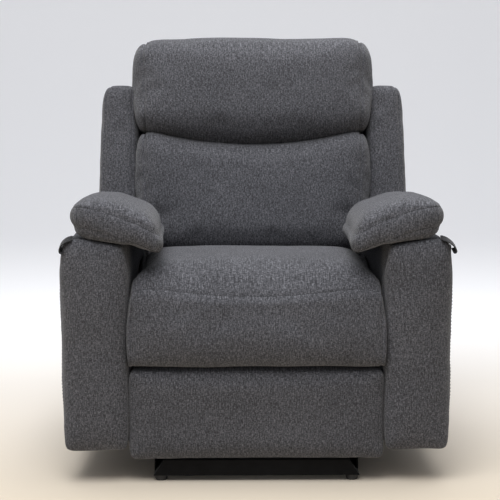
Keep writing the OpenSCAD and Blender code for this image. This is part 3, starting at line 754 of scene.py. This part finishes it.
def pouch_point(side, y, z, low, high, front, rear, out=0.0):
    """The pouch hangs close to the arm at its sides and bottom, and gapes at its mouth."""
    share = (z - low) / (high - low)
    t = (y - front) / (rear - front)
    arch = math.sin(math.pi * min(max(t, 0), 1))
    gape = 0.0010 + 0.0050 * share ** 1.5 * arch ** 0.8
    slack = 0.0012 * arch * (1 - share) * noise.noise(Vector((y * 13, z * 17, side * 3.0)))
    sag = 0.006 * share ** 4 * arch
    return (side * (0.4254 + gape + slack + out), y, z - sag)


def side_pouch(side):
    """A flat cloth pocket on the arm's outer face, open at the top, with a hem band and side bindings."""
    tag = "right" if side > 0 else "left"
    low, high = 0.317, 0.526
    front, rear = FRONT + 0.045, FRONT + 0.385
    limits = (low, high, front, rear)
    ys = lines(front, rear, 0.011)
    rows = [[pouch_point(side, y, z, *limits) for y in ys] for z in lines(low, high, 0.011)]
    pocket = sheet_object(f"side_pouch_{tag}", rows, POUCH, 0.0016)
    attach(pocket, "base")
    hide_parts(f"side_pouch_{tag}")
    bands = (("hem", front, rear, high - 0.022, high - 0.001),
             ("front_binding", front, front + 0.012, low, high - 0.023),
             ("rear_binding", rear - 0.012, rear, low, high - 0.023))
    for name, y0, y1, z0, z1 in bands:
        ys = lines(y0, y1, 0.006)
        band = [[pouch_point(side, y, z, *limits, out=0.0013) for y in ys] for z in lines(z0, z1, 0.007)]
        trim = sheet_object(f"side_pouch_{name}_{tag}", band, POUCH, 0.0012)
        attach(trim, "base")
    # the hem's front end is a folded tab that comes out under the pad and hangs over the arm's shoulder
    flare = 0.006 if side > 0 else 0.0
    places = [(0.398, 0.549), (0.409, 0.5465), (0.4185, 0.5415), (0.4255 + flare * 0.4, 0.5335),
              (0.4275 + flare, 0.5245), (0.4235 + flare, 0.5195), (0.4175 + flare, 0.5215)]
    tab = [[(side * x, front - 0.052 + 0.034 * t, z - 0.009 * (1 - t)) for t in (0, 0.35, 0.7, 1)]
           for x, z in places]
    fold = sheet_object(f"side_pouch_tab_{tag}", tab, POUCH, 0.0030)
    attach(fold, "base")


def arm_gap_shade_sheet(side):
    """A stiffened sheet of dark cloth at the arm's rear inside corner, painted shade that closes the view past
    the seat.
    """
    tag = "right" if side > 0 else "left"
    y0, y1, z0, z1 = FRONT + 0.520, FRONT + 0.598, 0.385, 0.462
    rows = []
    for z in lines(z0, z1, 0.011):
        run = y1 - y0 - 0.02 * (z - z0) / (z1 - z0)
        # the rear edge bends in towards the back cushion
        shares = [k / 7 for k in range(8)]
        bend = [0.0078 * soft_step((t - 0.3) / 0.7) for t in shares]
        rows.append([(side * (0.2848 - b), y0 + run * t, z) for t, b in zip(shares, bend)])
    # painted shade: the near-black pouch cloth fills the gap between arm, seat and back cushion
    obj = sheet_object(f"arm_gap_shade_sheet_{tag}", rows, POUCH, 0.0016)
    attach(obj, "base")


# ---------- footrest ----------
def footrest_pad():
    half = 0.281
    front, rear = FRONT, FRONT + 0.061
    low, high = 0.0520, 0.254
    grid = Grid(lines(-half, half), lines(front, rear, 0.010), lines(low, high))
    x, y, z = grid.base.T.copy()
    x2, z2 = round_corners(x, z, (-half, half, low, high), (0.016,) * 4)
    edge = np.minimum(half - np.abs(x), np.minimum(z - low, high - z))
    y2 = rear + (y - rear) * (0.80 + 0.20 * dome(edge + 0.001, 0.040))
    obj = new_object("footrest_pad", np.stack([x2, y2, z2], 1), grid.faces, HEATHER)
    seam_distance = np.full(len(x), 1.0)
    puff(obj, y > rear - 0.002, 0.006, pressure=2.5)
    finish_surface(obj, seam_distance, 83, softness=0.0016)
    smooth_out(obj)
    return place(obj, "footrest", "footrest_pad", "heather_fabric", 0.7)


# ---------- CAD nodes that keep their shape ----------
STARTS = (
    (("base_front_bar", "base_rear_bar", "base_rail", "base_plate", "arm_brackets"), BLACK_STEEL),
    (("glide_rail", "seat_plate", "back_bracket", "front_link_l", "front_link_r", "front_link_t",
      "rear_link_l", "rear_link_r", "cross_link_l", "cross_link_r", "lower_link_l", "lower_link_r",
      "footrest_bracket"), LINK_STEEL),
    (("arm_bolts", "seat_pins", "front_link_pins", "rear_link_pins", "cross_link_pins", "lower_link_pins"),
     BRIGHT_STEEL),
    (("seat_springs",), SPRING_STEEL),
    (("floor_feet",), BLACK_PLASTIC),
    (("glide_shoes",), WHITE_NYLON),
    (("back_webbing",), WEBBING),
)


def dress_frame():
    for name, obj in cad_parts.items():
        found = [m for starts, m in STARTS if name.startswith(starts)]
        obj.data.materials.clear()
        obj.data.materials.append(found[0] if found else WOOD)


# ---------- stage, light and camera ----------
def sweep():
    """A floor that curves up into a wall far behind."""
    profile = [(-9.0, 0.0), (4.6, 0.0)]
    bend = np.linspace(0.06, math.pi / 2, 24)
    profile += [(4.6 + 2.4 * math.sin(a), 2.4 - 2.4 * math.cos(a)) for a in bend]
    profile.append((7.0, 9.0))
    verts = [(x, y, z) for y, z in profile for x in (-14, 14)]
    faces = [(2 * i, 2 * i + 1, 2 * i + 3, 2 * i + 2) for i in range(len(profile) - 1)]
    obj = new_object("stage_sweep", verts, faces, stage_paint())


def area_light(name, place_at, aim, size, power):
    data = bpy.data.lights.new(name, "AREA")
    data.shape = "RECTANGLE"
    data.size, data.size_y = size
    data.energy = power
    obj = bpy.data.objects.new(name, data)
    obj.location = place_at
    obj.rotation_euler = (Vector(aim) - Vector(place_at)).to_track_quat("-Z", "Y").to_euler()
    bpy.context.scene.collection.objects.link(obj)


def camera():
    data = bpy.data.cameras.new("camera")
    data.lens = 89.1
    data.sensor_width = 36
    obj = bpy.data.objects.new("camera", data)
    obj.location = (-0.0489, FRONT - 2.652, 0.8331)
    turn, pitch = 0.0127, 0.1177
    obj.rotation_euler = (math.pi / 2 - pitch, 0, -turn)
    bpy.context.scene.collection.objects.link(obj)
    bpy.context.scene.camera = obj


def light_up():
    world = bpy.data.worlds.new("world")
    world.use_nodes = True
    world.node_tree.nodes["Background"].inputs["Color"].default_value = (0.84, 0.86, 0.90, 1)
    world.node_tree.nodes["Background"].inputs["Strength"].default_value = 0.51
    bpy.context.scene.world = world
    area_light("key", (-0.7, -1.9, 3.5), (0, -0.1, 0.5), (2.6, 2.0), 104)
    area_light("top", (0.2, 0.2, 3.4), (0, 0, 0.4), (2.6, 2.6), 84)
    bpy.context.scene.view_settings.view_transform = "Standard"


camera()
light_up()
sweep()
dress_frame()
head_cushion()
back_cushion()
rear_cover()
seat_cushion()
footrest_pad()
for hand in (-1, 1):
    wing(hand)
    arm_cover(hand)
    arm_pad(hand)
    side_pouch(hand)
    arm_gap_shade_sheet(hand)
